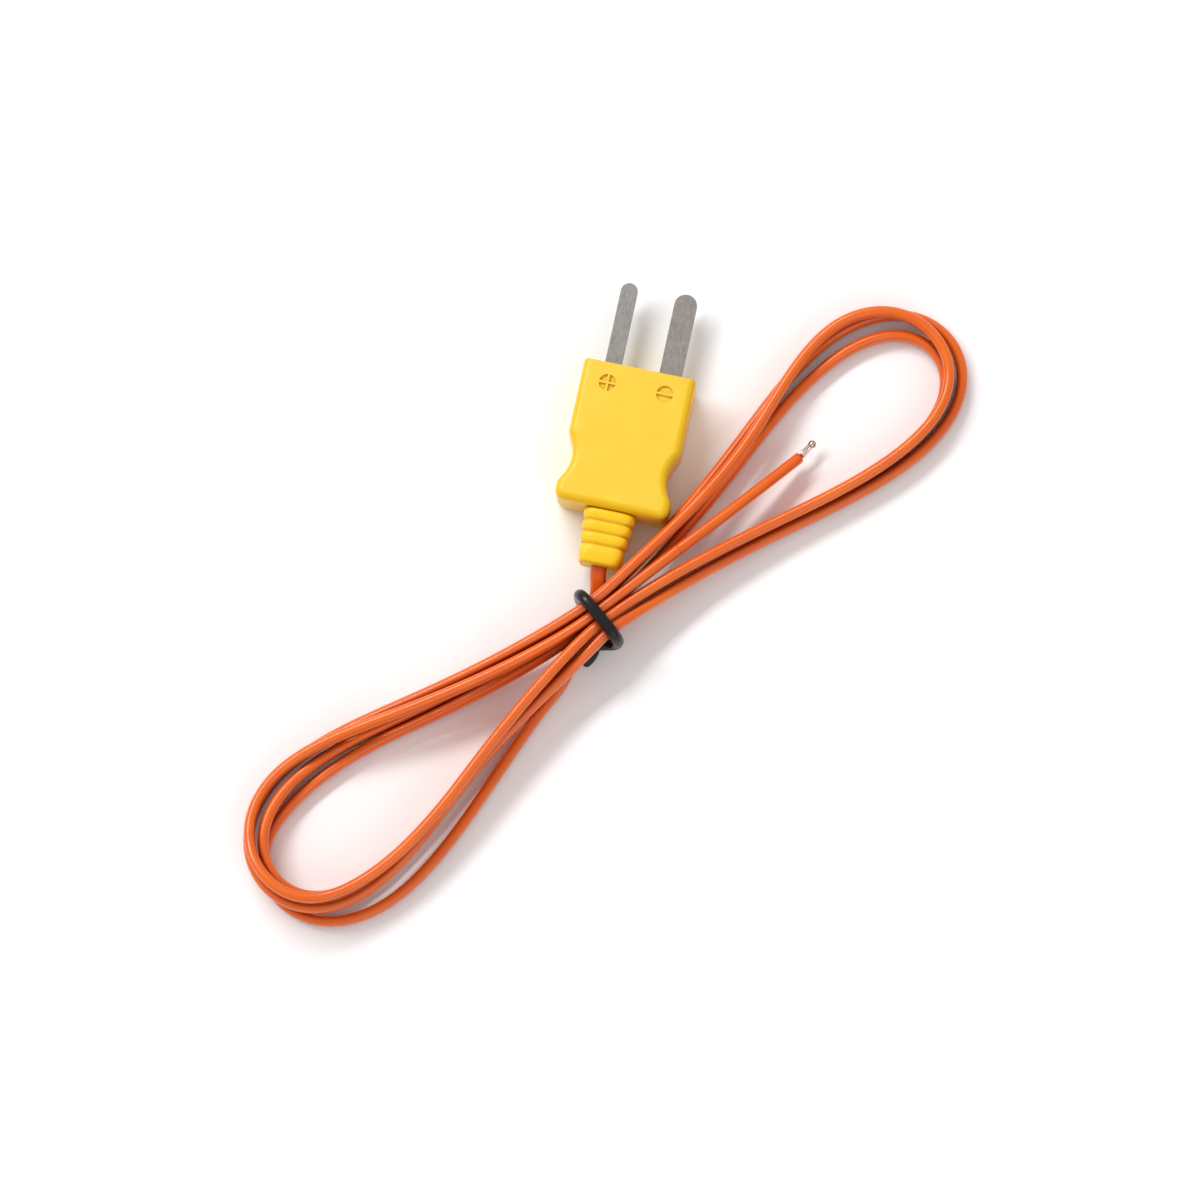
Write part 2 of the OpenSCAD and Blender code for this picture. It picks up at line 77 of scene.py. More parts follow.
plug_len = -body_low[1]
plug_h = body_high[2] - body_low[2]
table_z = body_low[2]
boot_end = boot_low[1]
cable_w = stub_high[0] - stub_low[0]
cable_t = stub_high[2] - stub_low[2]
blade_pitch = (negative_low[0] + negative_high[0] - positive_low[0] - positive_high[0]) / 2
plug_pivot = np.array(joint("plug_lift")["pos_m"]) / MM
tip_pivot = np.array(joint("tip_lift")["pos_m"]) / MM


# ---- Curves ----

def cubic(a, b, c, d, t):
    """Point at t between b and c on the curve that runs through a, b, c and d."""
    return (
        b
        + (c - a) * t / 2
        + (2 * a - 5 * b + 4 * c - d) * t ** 2 / 2
        + (3 * b - a - 3 * c + d) * t ** 3 / 2
    )


def curve(points, steps):
    """Smooth path through the points, with this many steps between neighbours."""
    points = [np.array(p, float) for p in points]
    last = len(points) - 1
    out = []
    for i in range(last):
        a, b, c, d = (points[min(max(i + k, 0), last)] for k in (-1, 0, 1, 2))
        out += [cubic(a, b, c, d, k / steps) for k in range(steps)]
    return np.array(out + [points[last]])


def distances(path):
    """Length of the path up to each of its points."""
    steps = np.linalg.norm(np.diff(path[:, :3], axis=0), axis=1)
    return np.concatenate([[0], np.cumsum(steps)])


def evenly(path, spacing):
    """The same path with rings at even spacing."""
    at = distances(path)
    wanted = np.linspace(0, at[-1], max(2, int(at[-1] / spacing)) + 1)
    return np.stack([np.interp(wanted, at, column) for column in path.T], axis=1)


def relaxed(path, passes):
    """Evens out small kinks; the ends stay."""
    path = path.copy()
    for _ in range(passes):
        path[1:-1] = (path[:-2] + 2 * path[1:-1] + path[2:]) / 4
    return path


# ---- The coil, in its own axes: along the drawn-out loop and across it ----

COIL_CENTER = np.array([1.6, -34.45])
COIL_ANGLE = math.radians(51.5)
BOW_LEN = (56, 60.3)       # reach of the left and the right half from the tie
BOW_WIDTH = (16.5, 15.6)
BOW_POWER = 1.27           # higher values keep the two arms together for longer
GAP = 0.05                 # between neighbouring strands, the cable and the table, plug and boot
STATIONS = 8
MID, TOP = 1.45, 2.46      # levels inside the tie

# One row per loop, to the left and the right of the tie in turn: lane (outwards) and level of the
# cable at 0, 45 ... 315 degrees around the loop
WINDING = (
    ((1.5, 0.6), (1.25, 0.15), (0.95, 0), (0.85, 0), (0.6, 0), (-1.4, 0), (-0.95, 0), (-0.05, 1.28)),
    ((0.5, MID), (0.15, 0.95), (-0.65, 0), (-1, 0), (-0.8, 0), (-1.1, 0), (-0.95, 0), (0.2, 0.9)),
    ((0.5, MID), (0.3, 1.35), (-1.25, 0), (-1.9, 0.3), (-0.35, 1.1), (-0.3, 0.9), (0.1, 0), (0.98, 1.15)),
    ((1.5, MID), (1.22, 1.74), (0.42, 0.5), (0.85, 0), (0.95, 0), (0.1, 0), (0.1, 0), (1.28, 1.4)),
    ((1.5, TOP), (1.3, 1.95), (-0.9, 1.2), (-0.83, 1), (0.79, 1.15), (1.2, 0), (0.95, 1.15), (1.55, 2.3)),
    ((1.5, TOP), (1.1, 2.78), (-0.35, 1.55), (1.3, 1.06), (-0.2, 1), (-0.95, 1.06), (-0.7, 1.1), (0.25, 2)),
    ((0.5, TOP), (0.3, 2.65), (-0.9, 2.32), (-1.6, 2.1), (0.25, 2.25), (1.2, 1.05), (0.1, 2.05), (0.42, TOP)),
)
LEAD_JOIN = 1.4            # station at which the lead from the plug joins the winding
LEAD_AIM = 0.6             # the lead heads for the point that lies this many stations further
JOIN_GAP = 0.12            # the winding's own points begin this many stations after the join
POINTS_PER_STATION = 24
CURVE_STEPS = 12
RING_SPACING = 0.5
CABLE_PASSES = 10          # of smoothing
FLAT = 90                  # roll of the cable where its wide side is level
IN_BOOT = (1.5, 0.4)       # the cable's first points lie this far inside the boot

# Along, across, height and roll of the cable, from the flex joint of the plug and to the tip
LEAD = (
    (2.85, 3.45, -1.15, FLAT), (0.2, 1.9, -1.6, FLAT), (-3.2, 0.7, -1.6, FLAT),
    (-5.4, -0.8, -1.7, 75), (-7.5, -2.3, -2.2, 35), (-10.3, -3.45, -2.75, 8),
)
TIP = (
    (8, 0.58, 2.6, 0), (15, 0.44, 1.9, 0), (22, 0.29, 0.9, 0), (29, 0.25, -0.3, 0),
    (35.25, 0.3, -1.5, 0),
)
TIE = (
    (-5.2, -2.7, -3.15), (-4, -2.65, -3.15), (-2.6, -2.1, -3.15), (-1.4, -0.8, -3.15),
    (-0.5, 0.6, -3.15), (0, 2.2, -3.15), (0, 3.5, -2.65), (0, 4.05, -1.2), (0, 4.1, 1),
    (0, 3.9, 3.2), (0, 3.1, 4.5), (0, 1.2, 4.85), (0, -1.2, 4.85), (0, -3.15, 4.5),
    (0, -4, 3), (0, -3.95, 1), (-0.3, -3.75, -0.7), (-1, -3, -1.5), (-1.9, -2.3, -1.55),
    (-2.8, -1.7, -1.6),
)
ALONG = np.array([math.cos(COIL_ANGLE), math.sin(COIL_ANGLE)])
ACROSS = np.array([-math.sin(COIL_ANGLE), math.cos(COIL_ANGLE)])
lane_step = cable_t + GAP
level_step = cable_w + GAP
first_level = table_z + cable_w / 2 + GAP


def to_part(points):
    """From the coil's axes to the part frame; height and roll are kept."""
    points = np.array(points, float)
    flat = COIL_CENTER + points[:, :1] * ALONG + points[:, 1:2] * ACROSS
    return np.concatenate([flat, points[:, 2:]], axis=1)


def station_pair(i):
    """Lane and level at station i; past the last row the cable keeps to where that row began."""
    i = max(0, min(i, len(WINDING) * STATIONS))
    if i == len(WINDING) * STATIONS:
        return np.array(WINDING[-1][0], float)
    return np.array(WINDING[i // STATIONS][i % STATIONS], float)


def coil_point(g):
    """Cable centre at station g: along, across, height, roll."""
    turn = int(g // STATIONS)
    half = turn % 2
    a = 2 * math.pi * (g / STATIONS - turn)
    reach = (1 - math.cos(a)) / 2
    line = np.array([BOW_LEN[half] * reach, BOW_WIDTH[half] * math.sin(a) * reach ** BOW_POWER])
    out = math.pi / 2
    if reach > 1e-9:
        rise = math.cos(a) * reach ** BOW_POWER
        rise += BOW_POWER * reach ** (BOW_POWER - 1) * math.sin(a) ** 2 / 2
        out += math.atan2(BOW_WIDTH[half] * rise, BOW_LEN[half] * math.sin(a) / 2)
    i = int(g // 1)
    lane, level = cubic(*(station_pair(i + k) for k in (-1, 0, 1, 2)), g - i)
    side = -1 if half == 0 else 1
    p = side * (line + lane * lane_step * np.array([math.cos(out), math.sin(out)]))
    return np.array([p[0], p[1], first_level + max(0, level) * level_step, 0])


def cable_path():
    """The whole cable outside the boot as [x, y, z, roll], from the boot to the cut end."""
    offset = plug_pivot[:2] - COIL_CENTER
    start = (offset @ ALONG, offset @ ACROSS, plug_pivot[2], FLAT)
    joined = (coil_point(LEAD_JOIN), coil_point(LEAD_JOIN + LEAD_AIM))
    lead = curve((start,) + LEAD + joined, CURVE_STEPS)[:-CURVE_STEPS]
    first = int((LEAD_JOIN + JOIN_GAP) * POINTS_PER_STATION)
    last = len(WINDING) * STATIONS
    winding = [coil_point(k / POINTS_PER_STATION) for k in range(first, last * POINTS_PER_STATION)]
    tip = curve((coil_point(last),) + TIP, CURVE_STEPS)
    inside_boot = [[0, boot_end + depth, 0, FLAT] for depth in IN_BOOT]
    path = np.concatenate([inside_boot, to_part(np.concatenate([lead, winding, tip]))])
    return relaxed(evenly(path, RING_SPACING), CABLE_PASSES)


# ---- Meshes ----

def new_object(name, vertices, faces, material, smooth=True):
    mesh = bpy.data.meshes.new(name)
    mesh.from_pydata([tuple(float(c) * MM for c in v) for v in vertices], [], faces)
    mesh.update()
    if smooth:
        mesh.polygons.foreach_set("use_smooth", [True] * len(mesh.polygons))
    obj = bpy.data.objects.new(name, mesh)
    bpy.context.collection.objects.link(obj)
    mesh.materials.append(material)
    return obj


def ring_skin(rings, n, caps=True):
    """Faces between rings of n points each, counter-clockwise around the direction they run in."""
    faces = [
        (i * n + k, i * n + (k + 1) % n, (i + 1) * n + (k + 1) % n, (i + 1) * n + k)
        for i in range(rings - 1)
        for k in range(n)
    ]
    if caps:
        faces.append(tuple(range(n - 1, -1, -1)))
        faces.append(tuple((rings - 1) * n + k for k in range(n)))
    return faces


def normalized(v):
    return v / np.linalg.norm(v, axis=-1, keepdims=True)


def headings(path):
    """Unit direction of travel at each ring."""
    ahead = np.concatenate([path[1:], path[-1:]])
    behind = np.concatenate([path[:1], path[:-1]])
    return normalized((ahead - behind)[:, :3])


def upright_frames(path):
    """Centre, sideways and up for a cable that stands on edge, turned by its roll."""
    t = headings(path)
    side = normalized(np.cross([0, 0, 1], t))
    up = np.cross(t, side)
    roll = np.radians(path[:, 3:4])
    return path[:, :3], np.cos(roll) * side + np.sin(roll) * up, np.cos(roll) * up - np.sin(roll) * side


def carried_frames(path):
    """Centre and two directions for a round wire, carried along without twisting."""
    t = headings(path)
    off_path = [0.3, 0.2, 1]   # any direction that no wire starts in
    side = np.cross(t[0], off_path)
    sides = []
    for direction in t:
        side = normalized(side - (side @ direction) * direction)
        sides.append(side)
    sides = np.array(sides)
    return path[:, :3], sides, np.cross(t, sides)


def sweep(name, frames, sections, material, caps=True):
    """A section, or one section per ring, swept along the frames."""
    centre, side, up = frames
    sections = np.array(sections, float)
    if sections.ndim == 2:
        sections = np.repeat(sections[None], len(centre), axis=0)
    points = centre[:, None] + sections[:, :, :1] * side[:, None] + sections[:, :, 1:] * up[:, None]
    n = sections.shape[1]
    return new_object(name, points.reshape(-1, 3), ring_skin(len(centre), n, caps), material)


def circle(d, n):
    a = np.arange(n) * 2 * math.pi / n
    return d / 2 * np.stack([np.cos(a), np.sin(a)], axis=1)


def oval(w, t, steps):
    """Section with two half-round edges, w high and t wide."""
    points = []
    for end, first in ((1, 0), (-1, math.pi)):
        for k in range(steps + 1):
            a = first + math.pi * k / steps
            points.append((t / 2 * math.cos(a), (w - t) / 2 * end + t / 2 * math.sin(a)))
    return np.array(points)


# ---- Materials ----

def linear(r, g, b):
    """Linear colour of an sRGB colour given from 0 to 255."""
    def one(c):
        c /= 255
        return c / 12.92 if c <= 0.04045 else ((c + 0.055) / 1.055) ** 2.4
    return (one(r), one(g), one(b), 1)


class Shader:
    """A node material around one Principled shader."""

    def __init__(self, name):
        self.material = bpy.data.materials.new(name)
        self.material.use_nodes = True
        self.tree = self.material.node_tree
        self.surface = self.tree.nodes["Principled BSDF"]
        self.place = self.node("ShaderNodeTexCoord").outputs["Object"]

    def node(self, kind, **settings):
        made = self.tree.nodes.new(kind)
        for key, value in settings.items():
            setattr(made, key, value)
        return made

    def put(self, target, value):
        """Links a socket or sets a plain value."""
        if isinstance(value, bpy.types.NodeSocket):
            self.tree.links.new(value, target)
        else:
            target.default_value = value

    def set(self, **inputs):
        """Inputs of the Principled shader, with _ for each space in their names."""
        for key, value in inputs.items():
            self.put(self.surface.inputs[key.replace("_", " ")], value)

    def noise(self, scale, detail=3, stretch=(1, 1, 1), rough=0.5):
        """Soft random pattern with this many features per mm."""
        mapping = self.node("ShaderNodeMapping")
        mapping.inputs["Scale"].default_value = stretch
        self.put(mapping.inputs["Vector"], self.place)
        made = self.node("ShaderNodeTexNoise")
        self.put(made.inputs["Vector"], mapping.outputs["Vector"])
        made.inputs["Scale"].default_value = scale / MM
        made.inputs["Detail"].default_value = detail
        made.inputs["Roughness"].default_value = rough
        return made.outputs["Fac"]

    def between(self, value, low, high, to_low=0.0, to_high=1.0):
        """The range from low to high of value, stretched to another range and clamped."""
        made = self.node("ShaderNodeMapRange")
        self.put(made.inputs["Value"], value)
        for key, number in (("From Min", low), ("From Max", high), ("To Min", to_low), ("To Max", to_high)):
            made.inputs[key].default_value = number
        return made.outputs["Result"]

    def mix(self, amount, a, b):
        """Colour a where amount is 0 and colour b where it is 1."""
        made = self.node("ShaderNodeMix", data_type="RGBA")
        self.put(made.inputs["Factor"], amount)
        colours = [s for s in made.inputs if s.type == "RGBA"]
        self.put(colours[0], a)
        self.put(colours[1], b)
        return next(s for s in made.outputs if s.type == "RGBA")

    def crevice(self, distance):
        """1 on an open surface and lower where other surfaces come within distance, in mm."""
        made = self.node("ShaderNodeAmbientOcclusion", samples=8)
        made.inputs["Distance"].default_value = distance * MM
        return made.outputs["AO"]

    def bump(self, height, strength, distance):
        """Surface relief whose height is distance, in mm."""
        made = self.node("ShaderNodeBump")
        made.inputs["Strength"].default_value = strength
        made.inputs["Distance"].default_value = distance * MM
        self.put(made.inputs["Height"], height)
        self.put(self.surface.inputs["Normal"], made.outputs["Normal"])


def cable_material():
    s = Shader("cable_jacket")
    tone = s.between(s.noise(0.12, 2), 0.35, 0.65)
    colour = s.mix(tone, linear(231, 104, 6), linear(224, 95, 4))
    shade = s.between(s.crevice(1.4), 0.2, 0.9)
    colour = s.mix(shade, linear(158, 40, 4), colour)
    grain = s.noise(2.2, 2)
    rough = s.between(s.noise(0.8, 3), 0.3, 0.7, 0.3, 0.4)
    s.set(Base_Color=colour, Roughness=rough, Specular_IOR_Level=0.3, Coat_Weight=0.45, Coat_Roughness=0.12)
    s.set(Subsurface_Weight=0.05, Subsurface_Radius=(1.0, 0.5, 0.2), Subsurface_Scale=0.3 * MM)
    s.bump(grain, 0.12, 0.03)
    return s.material


def plug_material():
    s = Shader("plug_moulding")
    # Faces that point straight up get a paler yellow than the fillets and sides: painted light on the lit top
    # face. The cloud noise in it is real tone variation.
    facing = s.node("ShaderNodeSeparateXYZ")
    s.put(facing.inputs[0], s.node("ShaderNodeNewGeometry").outputs["Normal"])
    flat = s.between(facing.outputs["Z"], 0.97, 0.999)
    cloud = s.between(s.noise(0.35, 3), 0.3, 0.7)
    lit_top_colour = s.mix(cloud, linear(240, 196, 44), linear(243, 201, 54))
    colour = s.mix(flat, linear(236, 190, 0), lit_top_colour)
    shade = s.between(s.crevice(1.0), 0.2, 0.8)
    colour = s.mix(shade, linear(228, 178, 14), colour)
    texture = s.noise(5, 4, rough=0.6)
    rough = s.between(flat, 0, 1, 0.34, 0.5)
    s.set(Base_Color=colour, Roughness=rough, IOR=1.48)
    s.set(Subsurface_Weight=0.12, Subsurface_Radius=(1.0, 0.6, 0.1), Subsurface_Scale=0.8 * MM)
    s.bump(texture, 0.25, 0.035)
    return s.material


def boot_material():
    s = Shader("boot_rubber")
    cloud = s.between(s.noise(0.5, 3), 0.3, 0.7)
    colour = s.mix(cloud, linear(246, 196, 2), linear(249, 203, 12))
    shade = s.between(s.crevice(0.8), 0.15, 0.85)
    colour = s.mix(shade, linear(226, 160, 0), colour)
    rough = s.between(s.noise(1.5, 2), 0.3, 0.7, 0.36, 0.48)
    s.set(Base_Color=colour, Roughness=rough, IOR=1.48)
    s.set(Subsurface_Weight=0.12, Subsurface_Radius=(1.0, 0.6, 0.1), Subsurface_Scale=0.6 * MM)
    s.bump(s.noise(4, 3), 0.15, 0.03)
    return s.material


def blade_material(name, light, dark):
    s = Shader(name)
    brushed = s.noise(1.8, 6, stretch=(2.2, 0.8, 2.2), rough=0.7)
    colour = s.mix(s.between(brushed, 0.35, 0.65), dark, light)
    smudge = s.between(s.noise(0.45, 4, rough=0.6), 0.5, 0.75, 0, 0.35)
    colour = s.mix(smudge, colour, linear(120, 117, 113))
    rough = s.between(brushed, 0.3, 0.7, 0.42, 0.56)
    s.set(Base_Color=colour, Metallic=1.0, Roughness=rough)
    s.bump(brushed, 0.2, 0.02)
    return s.material


def wire_material(name, colour, roughness):
    s = Shader(name)
    drawn = s.noise(6, 3)
    tint = s.mix(s.between(drawn, 0.35, 0.65), colour, tuple(c * 0.75 for c in colour[:3]) + (1,))
    rough = s.between(drawn, 0.3, 0.7, roughness - 0.05, roughness + 0.08)
    s.set(Base_Color=tint, Metallic=1.0, Roughness=rough)
    s.bump(drawn, 0.25, 0.02)
    return s.material


def plain_plastic(name, colour, roughness):
    s = Shader(name)
    tone = s.between(s.noise(1.2, 3), 0.3, 0.7)
    tint = s.mix(tone, colour, tuple(c * 0.86 for c in colour[:3]) + (1,))
    s.set(Base_Color=tint, Roughness=s.between(tone, 0, 1, roughness, roughness + 0.08))
    s.bump(s.noise(4, 2), 0.12, 0.02)
    return s.material


def tie_material():
    s = Shader("tie_plastic")
    tone = s.between(s.noise(0.9, 3), 0.3, 0.7)
    colour = s.mix(tone, linear(15, 12, 11), linear(8, 7, 6))
    rough = s.between(s.noise(2, 3), 0.3, 0.7, 0.26, 0.36)
    s.set(Base_Color=colour, Roughness=rough, Specular_IOR_Level=0.3, Coat_Weight=0.15, Coat_Roughness=0.14)
    s.bump(s.noise(3, 2), 0.1, 0.02)
    return s.material


def floor_material():
    s = Shader("floor")
    tone = s.between(s.noise(0.004, 2), 0.3, 0.7)
    s.set(Base_Color=s.mix(tone, (0.94, 0.94, 0.94, 1), (0.96, 0.96, 0.96, 1)), Roughness=0.9)
    return s.material


cable_finish = cable_material()
plug_finish = plug_material()
boot_finish = boot_material()
positive_finish = blade_material("chromel_blade", linear(160, 157, 152), linear(138, 135, 131))
negative_finish = blade_material("alumel_blade", linear(158, 152, 146), linear(136, 130, 125))
wire_finish = wire_material("thermocouple_wire", linear(246, 240, 232), 0.22)
weld_finish = wire_material("weld_metal", linear(206, 200, 192), 0.16)
steel_finish = wire_material("tie_steel", linear(190, 190, 190), 0.3)
positive_core_finish = plain_plastic("positive_core", linear(236, 204, 60), 0.35)
negative_core_finish = plain_plastic("negative_core", linear(186, 40, 28), 0.35)
carrier_finish = plain_plastic("carrier_moulding", linear(220, 176, 40), 0.5)
tie_finish = tie_material()


# ---- Cable ----

SECTION = oval(cable_w, cable_t, 10)
CORE_D, WIRE_D = 0.72, 0.4
CORE_OFFSET = CORE_D / 2 + 0.03
FLEX_LEN = 5.0             # length of the separate stretch around each joint
PLUG_RINGS, TIP_RINGS = 40, 120   # each joint lies within this many rings of its end of the cable


def make_cable():
    """The cable as four stretches end to end: coil and tip, each attached to its body, and a short stretch
    around each joint that is left unattached.
    """
    path = cable_path()
    at = distances(path)
    near_plug = np.argmin(np.linalg.norm(path[:PLUG_RINGS, :3] - plug_pivot, axis=1))
    tail = len(path) - TIP_RINGS
    near_tip = tail + np.argmin(np.linalg.norm(path[tail:, :3] - tip_pivot, axis=1))
    half = FLEX_LEN / 2
    cuts = [
        0,
        np.searchsorted(at, at[near_plug] + half),
        np.searchsorted(at, at[near_tip] - half),
        np.searchsorted(at, at[near_tip] + half),
        len(path) - 1,
    ]
    centre, side, up = upright_frames(path)
    for name, a, b in zip(("plug_flex", "coil", "tip_flex", "tip"), cuts, cuts[1:]):
        part = slice(a, b + 1)
        frames = (centre[part], side[part], up[part])
        for layer, section, finish, slot in cable_layers():
            piece = sweep(f"cable_{name}_{layer}", frames, section, finish, caps=name == "tip")
            if name == "plug_flex":
                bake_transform(piece)
            elif name == "tip_flex":
                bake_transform(piece)
            else:
                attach(piece, name)
                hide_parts(f"{name}_{layer}")
    return path


# Where each core lies in the section, its polarity and its material
CORES = ((-1, "positive", positive_core_finish), (1, "negative", negative_core_finish))


def cable_layers():
    """Each layer of the cable: name, section, material and the record's slot."""
    layers = [("jacket", SECTION, cable_finish, "cable_jacket")]
    for sign, word, finish in CORES:
        shift = [0, sign * CORE_OFFSET]
        layers.append((f"{word}_insulation", circle(CORE_D, 10) + shift, finish, f"{word}_core"))
        layers.append((f"{word}_wire", circle(WIRE_D, 8) + shift, wire_finish, "thermocouple_wire"))
    return layers


def make_plug_jacket():
    """The end of the jacket that the boot grips; the stretch around the plug's joint takes over inside the
    boot.
    """
    overlap = 0.2
    rear = boot_end + IN_BOOT[0] - overlap
    path = np.array([[0, y, 0, FLAT] for y in np.linspace(stub_high[1], rear, 8)])
    jacket = sweep("plug_jacket_end", upright_frames(path), SECTION, cable_finish)
    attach(jacket, "plug")
    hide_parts("plug_jacket")


cable = make_cable()
make_plug_jacket()


# ---- Plug body ----

FILLET = 1.1
FRONT_CORNER, REAR_CORNER = 0.5, 1.4
FRONT_SHARE = 0.2          # the fillet is tighter along the mating face
LEAST_CORNER = 0.05        # where the fillet has used up a corner's radius
NOTCH_Y, NOTCH_HALF, NOTCH_DEPTH, NOTCH_POWER = -13.8, 3.45, 1.15, 1.05
TAIL_FLARE = 0.1
body_w = body_high[0] - body_low[0] - 2 * TAIL_FLARE
MARK_Y, MARK_D, MARK_DEPTH, MARK_STROKE = -2.9, 2.3, 0.35, 0.3
OVERCUT = 1                # cutters reach this far above the face
MARK_BAR = 1.1             # length of a mark's bar as a share of the disc, so that it passes the rim
EDGE_WIDTH = 0.06          # rounding of the edges sharper than EDGE_ANGLE
EDGE_ANGLE = math.radians(50)


def half_width(y):
    """Half the width of the body at y: waisted by the notch and flared at the tail."""
    d = (y - NOTCH_Y) / NOTCH_HALF
    notch = NOTCH_DEPTH * (1 - d * d) ** NOTCH_POWER if abs(d) < 1 else 0
    tail = TAIL_FLARE * min(1, -d) if d < 0 else 0
    return body_w / 2 - notch + tail


def body_outline(inset, corner_steps=8, side_steps=72):
    """Outline counter-clockwise seen from above."""
    front = max(LEAST_CORNER, FRONT_CORNER - inset)
    rear = max(LEAST_CORNER, REAR_CORNER - inset)
    y0, y1 = -FRONT_SHARE * inset, -plug_len + inset
    right = []
    for k in range(corner_steps + 1):
        a = math.pi / 2 * (1 - k / corner_steps)
        right.append((half_width(0) - inset - front + front * math.cos(a), y0 - front + front * math.sin(a)))
    for k in range(1, side_steps):
        y = y0 - front + k / side_steps * (y1 + rear - y0 + front)
        right.append((half_width(y) - inset, y))
    for k in range(corner_steps + 1):
        a = -math.pi / 2 * k / corner_steps
        x = half_width(-plug_len) - inset - rear + rear * math.cos(a)
        right.append((x, y1 + rear + rear * math.sin(a)))
    return right[::-1] + [(-x, y) for x, y in right]


def applied(obj):
    """Turns the modifiers of obj into its mesh."""
    evaluated = obj.evaluated_get(bpy.context.evaluated_depsgraph_get())
    mesh = bpy.data.meshes.new_from_object(evaluated)
    obj.modifiers.clear()
    obj.data = mesh


def cut_away(obj, tool):
    """Cuts tool out of obj and removes the tool."""
    cut = obj.modifiers.new("cut", "BOOLEAN")
    cut.object = tool
    cut.operation = "DIFFERENCE"
    cut.solver = "EXACT"
    bpy.context.view_layer.update()
    applied(obj)
    bpy.data.objects.remove(tool)


def cutter(name, vertices, faces):
    return new_object(name, vertices, faces, plug_finish, smooth=False)


def box_mesh(centre, size):
    """Corners and outward faces of a box."""
    corners = [
        [centre[i] + (0.5 if bits >> i & 1 else -0.5) * size[i] for i in range(3)]
        for bits in range(8)
    ]
    return corners, [(0, 2, 3, 1), (4, 5, 7, 6), (0, 1, 5, 4), (2, 6, 7, 3), (0, 4, 6, 2), (1, 3, 7, 5)]


def mark_cutter(side):
    """A disc with the bar or cross of the polarity mark left out of it."""
    n = 64
    top, bottom = plug_h / 2 + OVERCUT, plug_h / 2 - MARK_DEPTH
    bar_len, bar_h = MARK_BAR * MARK_D, 4 * OVERCUT
    x = side * blade_pitch / 2
    rim = circle(MARK_D, n) + [x, MARK_Y]
    vertices = [(*p, bottom) for p in rim] + [(*p, top) for p in rim]
    disc = cutter("mark_disc", vertices, ring_skin(2, n))
    level, upright = (bar_len, MARK_STROKE, bar_h), (MARK_STROKE, bar_len, bar_h)
    for size in (level, upright) if side < 0 else (level,):
        cut_away(disc, cutter("mark_bar", *box_mesh((x, MARK_Y, plug_h / 2), size)))
    return disc


def make_plug_body():
    steps = 12
    rings = []
    for side in (-1, 1):
        for k in range(steps + 1):
            b = math.pi / 2 * ((steps - k) if side < 0 else k) / steps
            z = side * (plug_h / 2 - FILLET + FILLET * math.sin(b))
            rings.append([(x, y, z) for x, y in body_outline(FILLET * (1 - math.cos(b)))])
    n = len(rings[0])
    obj = new_object("plug_shell", [p for r in rings for p in r], ring_skin(len(rings), n), plug_finish)
    for side in (-1, 1):
        cut_away(obj, mark_cutter(side))
    sharp = obj.modifiers.new("rounding", "BEVEL")
    sharp.width = EDGE_WIDTH * MM
    sharp.segments = 2
    sharp.limit_method = "ANGLE"
    sharp.angle_limit = EDGE_ANGLE
    sharp.harden_normals = True
    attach(obj, "plug")
    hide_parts("plug_body")


make_plug_body()


# ---- Strain relief boot ----

RIB_W = (7.1, 6.85, 6.55, 6.1)
RIB_H = (6.2, 5.9, 5.6, 5.2)
RIB_PITCH, RIB_GROOVE = 1.6, 0.5
RIB_SHARE = 0.95           # of its pitch that a rib's curve takes up before the next one steps out
RIB_LEAN = 0.75            # lower values move the crest of a rib towards the plug
RIB_FULLNESS = 0.5         # lower values make the ribs squarer
BOOT_END_INSET = 0.85      # leaves room for the coil when the plug is lifted
BOOT_SQUARENESS = 4.5      # exponent of the superellipse


def boot_ring(w, h, y, n=72):
    """Superellipse w wide and h high at y."""
    power = 2 / BOOT_SQUARENESS
    ring = []
    for k in range(n):
        a = 2 * math.pi * k / n
        x = math.copysign(abs(math.cos(a)) ** power, math.cos(a))
        z = math.copysign(abs(math.sin(a)) ** power, math.sin(a))
        ring.append((w / 2 * x, y, h / 2 * z))
    return ring


def make_boot():
    start = -plug_len - GAP
    last_rib = -boot_end - plug_len - (len(RIB_W) - 1) * RIB_PITCH
    rings = []
    steps = 16
    for rib, (w, h) in enumerate(zip(RIB_W, RIB_H)):
        length = last_rib if rib == len(RIB_W) - 1 else RIB_PITCH
        for k in range(steps):
            t = RIB_SHARE * (k / steps)
            rise = max(0, math.sin(math.pi * t ** RIB_LEAN)) ** RIB_FULLNESS
            drop = 2 * RIB_GROOVE * (1 - rise)
            rings.append(boot_ring(w - drop, h - drop, start - rib * RIB_PITCH - t * length))
    rings.append(boot_ring(RIB_W[-1] - BOOT_END_INSET, RIB_H[-1] - BOOT_END_INSET, boot_end))
    n = len(rings[0])
    obj = new_object("boot_shell", [p for r in rings for p in r], ring_skin(len(rings), n), boot_finish)
    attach(obj, "plug")
    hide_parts("strain_relief_boot")


make_boot()


# ---- Blades and the inside of the plug ----

def finish_node(node, material):
    """Gives a CAD node a material."""
    obj = NODES[node]
    obj.data.materials.clear()
    obj.data.materials.append(material)
    return obj


def soften(obj, width):
    """Rounds the sharp edges of obj."""
    edge = obj.modifiers.new("edges", "BEVEL")
    edge.width = width * MM
    edge.segments = 3
    edge.limit_method = "ANGLE"
    edge.harden_normals = True


BLADE_EDGE = 0.05
soften(finish_node("positive_blade", positive_finish), BLADE_EDGE)
soften(finish_node("negative_blade", negative_finish), BLADE_EDGE)
finish_node("pin_carrier", carrier_finish)
for _, word, core_finish in CORES:
    finish_node(f"plug_{word}_insulation", core_finish)
    finish_node(f"plug_{word}_wire", wire_finish)


# ---- Measuring end ----

CORES_OUT = 0.4            # the cores stand out of the cut jacket by this much
CORES_IN = 0.5             # and start this far inside it
WIRE_START = 0.2           # distance of a bare wire's start from the cut, inside its core
WIRE_STEPS = 10
BARE_WIRE_D = 0.42
WIRE_IN_BEAD = 0.35        # a wire ends at this share of the bead's radius before its centre
